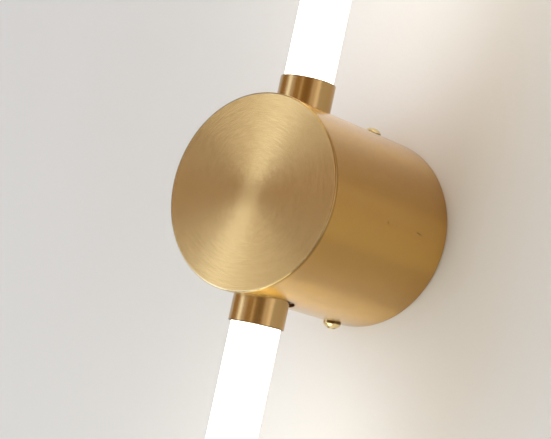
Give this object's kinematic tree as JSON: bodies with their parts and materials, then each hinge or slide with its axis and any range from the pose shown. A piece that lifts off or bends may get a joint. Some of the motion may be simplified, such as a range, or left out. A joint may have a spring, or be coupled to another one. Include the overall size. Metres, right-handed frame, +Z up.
{
  "type": "linear wall light",
  "caption": "Brass drum standing on the wall with a slim lit opal tube rising from it and another hanging below, each held in a turned collar.",
  "frame": {"origin": "on the wall plane, at the drum's axis, midway between the wall screw slots", "axes": "+Y into the wall along the drum's axis, +Z up along the tubes, +X to the right seen from the room"},
  "size_m": [0.08, 0.082, 0.6],
  "materials": {
    "drum_brass": "satin, lacquered",
    "cap_brass": "circular brushed, lacquered",
    "collar_brass": "fine turned",
    "screw_brass": "bright",
    "opal_acrylic": "opal, lit",
    "silicone": "matt",
    "black_rubber": "matt",
    "carrier_aluminium": "milled",
    "bar_aluminium": "mill finish",
    "white_circuit": "matt",
    "yellow_phosphor": "matt",
    "white_case": "moulded",
    "green_board": "lacquered",
    "yellow_tape": "taped",
    "black_sleeve": "shrunk sleeve",
    "zinc_steel": "zinc plated",
    "zinc_fastener": "zinc plated",
    "black_steel": "black oxide",
    "green_screw": "green chromate",
    "tinned_copper": "tinned",
    "clamp_brass": "plain",
    "nylon": "moulded",
    "green_yellow_lead": "insulated",
    "brown_lead": "insulated",
    "blue_lead": "insulated",
    "white_lead": "sheathed"
  },
  "bodies": {
    "root": {"body_shell": "drum_brass", "front_cap": "cap_brass", "upper_collar": "collar_brass", "lower_collar": "collar_brass", "upper_side_screw": "screw_brass", "lower_side_screw": "screw_brass", "upper_diffuser": "opal_acrylic", "lower_diffuser": "opal_acrylic", "upper_end_plug": "opal_acrylic", "lower_end_plug": "opal_acrylic", "upper_tube_seal": "silicone", "lower_tube_seal": "silicone", "cable_grommet": "black_rubber", "lead_bush": "black_rubber", "tube_carrier": "carrier_aluminium", "upper_heat_bar": "bar_aluminium", "lower_heat_bar": "bar_aluminium", "upper_led_strip": "white_circuit", "lower_led_strip": "white_circuit", "upper_led_chips": "yellow_phosphor", "lower_led_chips": "yellow_phosphor", "driver_case": "white_case", "driver_lid": "white_case", "driver_board": "green_board", "driver_transformer": "yellow_tape", "driver_capacitors": "black_sleeve", "wall_plate": "zinc_steel", "ear_nuts": "zinc_fastener", "flange_screws": "zinc_fastener", "foot_screws": "zinc_fastener", "terminal_screws": "zinc_fastener", "terminal_fixing_screw": "zinc_fastener", "earth_washer": "zinc_fastener", "set_screws": "black_steel", "earth_screw": "green_screw", "earth_lug": "tinned_copper", "terminal_clamps": "clamp_brass", "terminal_block": "nylon", "earth_lead": "green_yellow_lead", "live_lead": "brown_lead", "neutral_lead": "blue_lead", "upper_led_lead": "white_lead", "lower_led_lead": "white_lead"}
  },
  "joints": []
}
